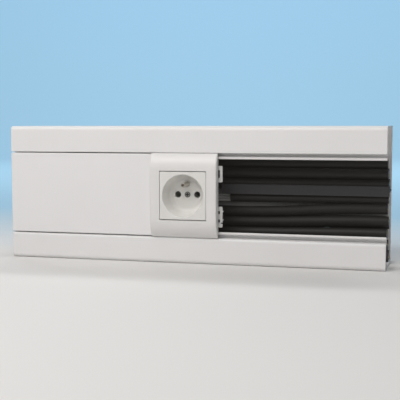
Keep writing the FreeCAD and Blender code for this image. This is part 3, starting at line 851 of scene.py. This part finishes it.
@dataclass
class TrunkingShell(SubAssembly):
    """The extruded base with its cover and partition."""

    base_finish: ExtrudedPvc = ExtrudedPvc(
        "trunking_pvc", (0.832, 0.826, 0.826), (0.807, 0.8, 0.798), (0.31, 0.42),
        edge=1.2 * MM, rolled=RolledEdge(),
    )
    cover_finish: ExtrudedPvc = ExtrudedPvc(
        "cover_pvc", (0.842, 0.835, 0.838), (0.817, 0.81, 0.812), (0.31, 0.42), edge=0.8 * MM,
    )
    partition_finish: ExtrudedPvc = ExtrudedPvc(
        "partition_pvc", (0.039, 0.039, 0.0425), (0.035, 0.035, 0.0385), (0.5, 0.61),
        cut=(0.08, 0.08, 0.08),
    )

    def build(self) -> list[Object]:
        """Dresses the three extrusions and returns them."""
        return self.dress_each({
            "trunking_base": self.base_finish,
            "front_cover": self.cover_finish,
            "partition": self.partition_finish,
        })


@dataclass
class Outlet(SubAssembly):
    """The mounting frame, the arched cover frame and the socket in it."""

    # The support's colour is darker than the other white moulded parts: painted shade for the frame's
    # shadow on its tabs.
    support_shaded_finish: MouldedPlastic = MouldedPlastic(
        "support_plastic", (0.66, 0.658, 0.648), (0.64, 0.638, 0.628), (0.4, 0.47),
    )
    frame_finish: MouldedPlastic = MouldedPlastic(
        "frame_plastic", (0.784, 0.775, 0.765), (0.769, 0.759, 0.748), (0.3, 0.37),
    )
    plate_finish: MouldedPlastic = MouldedPlastic(
        "socket_plastic", (0.778, 0.77, 0.745), (0.763, 0.754, 0.727), (0.38, 0.45),
    )
    housing_finish: MouldedPlastic = MouldedPlastic(
        "housing_plastic", (0.5, 0.5, 0.49), (0.46, 0.46, 0.45), (0.45, 0.52),
    )
    pin_finish: PlatedMetal = PlatedMetal(
        "pin_metal", (0.56, 0.54, 0.49), (0.5, 0.478, 0.43), (0.42, 0.56),
        # The tip's dark spot is a painted dark reflection, darkest at the very tip.
        dark=PaintedDarkPart(0.5 * MM, 0.3 * MM, (0.12, 0.1, 0.08)),
    )
    screw_finish: PlatedMetal = PlatedMetal(
        "screw_steel", (0.42, 0.41, 0.397), (0.33, 0.322, 0.311), (0.36, 0.5),
        # The dark cross recess is painted shade, darker with depth behind the head's face.
        dark=PaintedDarkPart(0.1 * MM, 0.3 * MM, (0.05, 0.048, 0.046)),
    )

    def build(self) -> list[Object]:
        """Dresses the outlet's pieces and returns them."""
        return self.dress_each({
            "device_support": self.support_shaded_finish,
            "outlet_frame": self.frame_finish,
            "socket_plate": self.plate_finish,
            "socket_housing": self.housing_finish,
            "earth_pin": self.pin_finish,
            "plate_screw": self.screw_finish,
        })


@dataclass(frozen=True)
class CableKind:
    """One kind of cable.

    Attributes:
        sheath: The sheath's finish.
        slot: The name of its material slot; not used.
        cores: The cores inside, in order.
    """

    sheath: CableSheath
    slot: str
    cores: tuple[Insulation, ...]


@dataclass
class CableRun(SubAssembly):
    """The laid cables with their cut faces, and the feed cable's stripped cores.

    Attributes:
        face_share: A cut face's radius, as a share of its cable's.
        face_depth: How thick the modelled face is.
        face_sink: How deep the filler lies in the sheath.
        face_sides: How many sides a face has.
        rim_round: The width of the rim's rounding.
        rim_rise: How far the rim rises over that width.
        sheath_share: The sheath's thickness, as a share of the cable's radius.
        core_share: A core's radius, as a share of the largest that has room.
        core_press: How far a core stays from the sheath, in its own radii.
        core_sides: How many sides a core has.
        core_roughness: The least and the most roughness of a core's insulation.
        band_from: Where the band of a core in two colours starts.
        copper_share: The copper's radius, as a share of its core's.
        copper_proud: How far the copper stands out.
        smooth_below: The angle between faces up to which they are shaded as one.
        twist_step: How far each cable's cores are turned from the last one's.
        twist_left: How far they have turned by the left end.
        materials: The cables' materials by the names of their finishes.
    """

    face_share: float = 0.985
    face_depth: float = 0.6 * MM
    face_sink: float = 0.35 * MM
    face_sides: int = 40
    rim_round: float = 0.12 * MM
    rim_rise: float = 0.7
    sheath_share: float = 0.23
    core_share: float = 0.97
    core_press: float = 1.06
    core_sides: int = 20
    core_roughness: Span = (0.35, 0.45)
    band_from: float = 0.2
    copper_share: float = 0.56
    copper_proud: float = 0.12 * MM
    smooth_below: float = math.radians(35.0)
    twist_step: float = 0.9
    twist_left: float = 1.7
    black_sheath: CableSheath = CableSheath(
        "cable_black", (0.0145, 0.0138, 0.0128), (0.0105, 0.01, 0.0094), (0.52, 0.66), shine=0.4,
    )
    grey_sheath: CableSheath = CableSheath(
        "cable_grey", (0.56, 0.557, 0.55), (0.515, 0.512, 0.505), (0.44, 0.58), film=0.05,
    )
    filler_finish: ChalkFiller = ChalkFiller(
        "cable_filler", (0.3, 0.29, 0.27), (0.2, 0.19, 0.18), (0.75, 0.95),
    )
    copper_finish: PlatedMetal = PlatedMetal(
        "core_copper", (0.75, 0.33, 0.18), (0.55, 0.22, 0.12), (0.32, 0.46),
    )
    materials: dict[str, Material] = field(default_factory=dict)

    def build(self) -> list[Object]:
        """Dresses the cables and the stripped cores, adds the cut faces and returns them all."""
        self.make_materials()
        return self.dress_cables() + self.add_faces()

    def kind_of(self, name: str) -> CableKind:
        """Says what kind of cable a solid is.

        Args:
            name: The solid's name.

        Returns:
            Its kind.
        """
        three = (Insulation.BROWN, Insulation.BLUE, Insulation.GREEN)
        five = (Insulation.BROWN, Insulation.BLACK, Insulation.GREY, Insulation.BLUE, Insulation.GREEN)
        if name == "cable_lower_grey":
            return CableKind(self.grey_sheath, "cable_grey", five)
        if name == "feed_cable":
            return CableKind(self.black_sheath, "cable_black", (Insulation.GREY,) * len(three))
        return CableKind(self.black_sheath, "cable_black", three)

    @staticmethod
    def core_name(colour: Insulation) -> str:
        """The name of a core's finish."""
        return f"core_{colour.name.lower()}"

    def make_materials(self) -> None:
        """Builds the finishes of the sheaths, the filler, the copper and the cores."""
        cores = [CoreInsulation(self.core_name(colour), *colour.value, self.core_roughness,
                                band_from=self.band_from if colour is Insulation.GREEN else None)
                 for colour in Insulation]
        for finish in (self.black_sheath, self.grey_sheath, self.filler_finish, self.copper_finish, *cores):
            self.materials[finish.name] = finish.build(self.effects)

    def cable_names(self) -> list[str]:
        """The cables' names, in order, with the feed cable last."""
        return sorted(name for name in self.solids if name.startswith("cable_")) + ["feed_cable"]

    def dress_cables(self) -> list[Object]:
        """Dresses the cables and the feed cable's stripped cores.

        Returns:
            The dressed solids.
        """
        finishes = {name: self.kind_of(name).sheath.name for name in self.cable_names()}
        for name in ("core_live", "core_neutral", "core_earth"):
            finishes[name] = self.core_name(Insulation.GREY)
        return [self.dress(name, self.materials[finish]) for name, finish in finishes.items()]

    def start_disc(self, sides: int, radius: float, middle: tuple[float, float],
                   finishes: tuple[str, str]) -> Object:
        """Adds a disc that looks along +X and picks its front, ready to be shaped.

        Args:
            sides: How many sides it has.
            radius: Its radius.
            middle: Where its middle is in Y and Z.
            finishes: The names of its finish and of the one for what is shaped out of its front.

        Returns:
            The disc, in edit mode.
        """
        Workbench.clear()
        bpy.ops.mesh.primitive_cylinder_add(
            vertices=sides, radius=radius, depth=self.face_depth,
            location=(self.face_depth / 2, *middle), rotation=(0.0, math.pi / 2, 0.0),
        )
        disc = bpy.context.object
        bpy.ops.object.transform_apply(location=True, rotation=True, scale=True)
        for finish in finishes:
            disc.data.materials.append(self.materials[finish])
        bpy.ops.object.mode_set(mode="EDIT")
        Workbench.pick_faces(disc, Vector((1.0, 0.0, 0.0)))
        return disc

    @staticmethod
    def end_disc(disc: Object) -> None:
        """Gives the picked faces the disc's second finish and leaves edit mode.

        Args:
            disc: The disc that is being edited.
        """
        disc.active_material_index = 1
        bpy.ops.object.material_slot_assign()
        bpy.ops.object.mode_set(mode="OBJECT")

    def model_core(self, radius: float, turn: float, colour: Insulation, count: int) -> Object:
        """Models one cut core: insulation with its copper standing a little proud.

        Args:
            radius: The cable's radius.
            turn: The core's angle round the cable.
            colour: The insulation's colour.
            count: How many cores the cable has.

        Returns:
            The core's object, looking along +X.
        """
        room = radius * (1.0 - self.sheath_share)
        pinch = math.sin(math.pi / count)
        outer = self.core_share * room * pinch / (1.0 + pinch)
        reach = room - outer * self.core_press
        core = self.start_disc(self.core_sides, outer, (reach * math.cos(turn), reach * math.sin(turn)),
                               (self.core_name(colour), self.copper_finish.name))
        bpy.ops.mesh.inset(thickness=outer * (1.0 - self.copper_share))
        Workbench.extrude(self.copper_proud)
        self.end_disc(core)
        return core

    def model_face(self, radius: float, kind: CableKind) -> Object:
        """Models a cable's cut face once, at the origin, looking along +X.

        Args:
            radius: The cable's radius.
            kind: The cable's kind.

        Returns:
            The face: a sheath rim, sunk filler and the cores.
        """
        face = self.start_disc(self.face_sides, radius * self.face_share, (0.0, 0.0),
                               (kind.sheath.name, self.filler_finish.name))
        bpy.ops.mesh.inset(thickness=self.rim_round)
        bpy.ops.transform.translate(value=(self.rim_round * self.rim_rise, 0.0, 0.0))
        bpy.ops.mesh.inset(thickness=radius * self.sheath_share)
        Workbench.extrude(-self.face_sink)
        self.end_disc(face)
        count = len(kind.cores)
        cores = [self.model_core(radius, math.pi / 2 + step * math.tau / count, colour, count)
                 for step, colour in enumerate(kind.cores)]
        Workbench.clear()
        for piece in (*cores, face):
            piece.select_set(True)
        bpy.context.view_layer.objects.active = face
        bpy.ops.object.join()
        bpy.ops.object.shade_smooth_by_angle(angle=self.smooth_below)
        return face

    def copy_face(self, model: Object, name: str, side: Side, twist: float) -> Object:
        """Copies a modelled face to one end of a cable. One that slopes is higher at the right.

        Args:
            model: The modelled face.
            name: The cable's name.
            side: Which end it is.
            twist: How far its cores are turned there.

        Returns:
            The copy, with its own mesh.
        """
        low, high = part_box(name)
        radius = (high.y - low.y) / 2
        end = Vector((low.x, (low.y + high.y) / 2, low.z + radius))
        if side is Side.RIGHT:
            end.x = high.x
            end.z = high.z - radius
        mesh = model.data.copy()
        mesh.transform(Matrix.Translation(end) @ Matrix.Rotation(side.value, 4, "Z")
                       @ Matrix.Rotation(twist, 4, "X"))
        piece = bpy.data.objects.new(f"{name}_{side.name.lower()}_face", mesh)
        bpy.context.collection.objects.link(piece)
        return piece

    def add_faces(self) -> list[Object]:
        """Puts a cut face on each free cable end.

        Returns:
            The faces.
        """
        models: dict[CableKind, Object] = {}
        faces = []
        for number, name in enumerate(self.cable_names()):
            kind = self.kind_of(name)
            low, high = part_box(name)
            if kind not in models:
                models[kind] = self.model_face((high.y - low.y) / 2, kind)
            sides = (Side.RIGHT,) if name == "feed_cable" else (Side.RIGHT, Side.LEFT)
            for side in sides:
                twist = self.twist_step * number + (self.twist_left if side is Side.LEFT else 0.0)
                piece = self.copy_face(models[kind], name, side, twist)
                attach(piece, "root")
                faces.append(piece)
        for model in models.values():
            bpy.data.meshes.remove(model.data)
        return faces


# Studio


@dataclass(frozen=True)
class SoftLight:
    """One soft area light.

    Attributes:
        name: Its name.
        place: Where it hangs.
        size: Its width and height.
        power: Its power in watts.
        tint: Its colour.
        aim: The point that it looks at.
    """

    name: str
    place: Point
    size: tuple[float, float]
    power: float
    tint: Colour = (1.0, 0.972, 0.955)
    aim: Point = (0.0, 0.0, 0.07)

    def hang(self) -> None:
        """Hangs the light in the scene."""
        lamp = bpy.data.lights.new(self.name, "AREA")
        lamp.shape = "RECTANGLE"
        lamp.size, lamp.size_y = self.size
        lamp.energy = self.power
        lamp.color = self.tint
        light = bpy.data.objects.new(self.name, lamp)
        light.location = self.place
        way = Vector(self.aim) - Vector(self.place)
        light.rotation_euler = way.to_track_quat("-Z", "Y").to_euler()
        bpy.context.collection.objects.link(light)


@dataclass
class Studio:
    """The pale floor that sweeps up all round, the light and the camera.

    Attributes:
        effects: The shared effects.
        paper: The floor's finish.
        floor_flat: The radius of its flat part.
        floor_bend: The radius of the bend at its rim.
        floor_sweep: How far that bend goes on.
        floor_steps: How many rings the bend has.
        floor_sides: How many sides a ring has.
        sky: The colour of the even light from all round.
        sky_strength: How strong that light is.
        black_lift: How far the picture's blacks are lifted.
        eye: Where the camera is.
        look_down: How many degrees it looks down.
        roll: How many degrees it is rolled.
        look_left: How many degrees it looks to the left.
        lens: Its focal length in millimetres.
        sensor: Its sensor's width in millimetres.
        lights: The soft lights.
    """

    effects: Effects
    paper: StudioPaper = StudioPaper("studio_paper", (0.78, 0.774, 0.762), (0.76, 0.754, 0.742), (0.8, 0.9))
    floor_flat: float = 2.4
    floor_bend: float = 1.0
    floor_sweep: float = math.radians(72.0)
    floor_steps: int = 12
    floor_sides: int = 96
    sky: Colour = (0.85, 0.94, 1.0)
    sky_strength: float = 0.09
    black_lift: Colour = (0.0062, 0.0056, 0.0048)
    eye: Point = (0.2372, -0.8498, 0.1350)
    look_down: float = 4.98
    roll: float = 0.09
    look_left: float = 15.43
    lens: float = 81.78
    sensor: float = 36.0
    lights: tuple[SoftLight, ...] = (
        SoftLight("above", (0.0, -0.5, 0.9), (0.4, 0.3), 1.6),
        SoftLight("key", (-0.2, -0.8, 0.9), (0.5, 0.4), 2.75),
        SoftLight("fill", (0.0, -0.9, 0.7), (0.5, 0.4), 1.75, (1.0, 0.957, 0.932)),
        SoftLight("left", (-0.55, -0.5, 0.75), (0.35, 0.3), 2.05),
        SoftLight("right", (1.2, -0.6, 0.35), (0.5, 0.4), 1.3, (1.0, 0.965, 0.93)),
        SoftLight("front", (0.1, -1.5, 0.25), (0.7, 0.5), 0.45, (1.0, 0.95, 0.915)),
        SoftLight("rear", (1.3, 0.5, 0.8), (0.6, 0.5), 1.5, (1.0, 0.97, 0.95)),
        SoftLight("backdrop", (-0.3, 1.3, 1.9), (2.4, 0.8), 54.0, (1.0, 1.0, 1.0), (-0.5, 2.4, 0.2)),
    )

    def lay_floor(self) -> Object:
        """Models the floor: a disc whose rim is extruded ring by ring into a cove.

        Returns:
            The floor.
        """
        Workbench.clear()
        bpy.ops.mesh.primitive_circle_add(vertices=self.floor_sides, radius=self.floor_flat,
                                          fill_type="NGON")
        floor = bpy.context.object
        floor.name = "floor"
        bpy.ops.object.mode_set(mode="EDIT")
        bpy.ops.mesh.select_mode(type="EDGE")
        bpy.ops.mesh.select_all(action="SELECT")
        bpy.ops.mesh.region_to_loop()
        angles = [self.floor_sweep * step / self.floor_steps for step in range(self.floor_steps + 1)]
        radii = [self.floor_flat + self.floor_bend * math.sin(angle) for angle in angles]
        heights = [self.floor_bend * (1.0 - math.cos(angle)) for angle in angles]
        for step in range(self.floor_steps):
            lift = heights[step + 1] - heights[step]
            growth = radii[step + 1] / radii[step]
            bpy.ops.mesh.extrude_edges_move(TRANSFORM_OT_translate={"value": (0.0, 0.0, lift)})
            bpy.ops.transform.resize(value=(growth, growth, 1.0), center_override=(0.0, 0.0, 0.0))
        bpy.ops.mesh.select_all(action="SELECT")
        bpy.ops.mesh.normals_make_consistent(inside=True)
        bpy.ops.object.mode_set(mode="OBJECT")
        bpy.ops.object.shade_smooth()
        floor.data.materials.append(self.paper.build(self.effects))
        return floor

    def light_up(self) -> None:
        """Sets the even light from all round, hangs the soft lights and lifts the blacks."""
        scene = bpy.context.scene
        scene.world = bpy.data.worlds.new("studio_air")
        scene.world.use_nodes = True
        air = scene.world.node_tree.nodes["Background"]
        air.inputs["Color"].default_value = (*self.sky, 1.0)
        air.inputs["Strength"].default_value = self.sky_strength
        scene.view_settings.view_transform = "Standard"
        scene.view_settings.use_curve_mapping = True
        scene.view_settings.curve_mapping.black_level = [-part for part in self.black_lift]
        scene.view_settings.curve_mapping.update()
        for light in self.lights:
            light.hang()

    def place_camera(self) -> None:
        """Puts the camera where the photograph was taken from."""
        data = bpy.data.cameras.new("camera")
        data.sensor_fit = "HORIZONTAL"
        data.sensor_width = self.sensor
        data.lens = self.lens
        camera = bpy.data.objects.new("camera", data)
        camera.location = self.eye
        turns = (90.0 - self.look_down, self.roll, self.look_left)
        camera.rotation_euler = [math.radians(turn) for turn in turns]
        bpy.context.collection.objects.link(camera)
        bpy.context.scene.camera = camera


def main() -> None:
    """Builds the sub-assemblies and the studio in order, and reports each piece."""
    logging.basicConfig(level=logging.INFO, format="%(name)s: %(message)s")
    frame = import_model()
    effects = Effects()
    pieces = []
    for assembly in (TrunkingShell, Outlet, CableRun):
        pieces += assembly(frame["nodes"], effects).build()
    studio = Studio(effects)
    pieces.append(studio.lay_floor())
    for piece in pieces:
        LOG.info("%s: %d faces, %s", piece.name, len(piece.data.polygons), piece.data.materials[0].name)
    studio.light_up()
    studio.place_camera()
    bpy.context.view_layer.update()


if __name__ == "__main__":
    main()
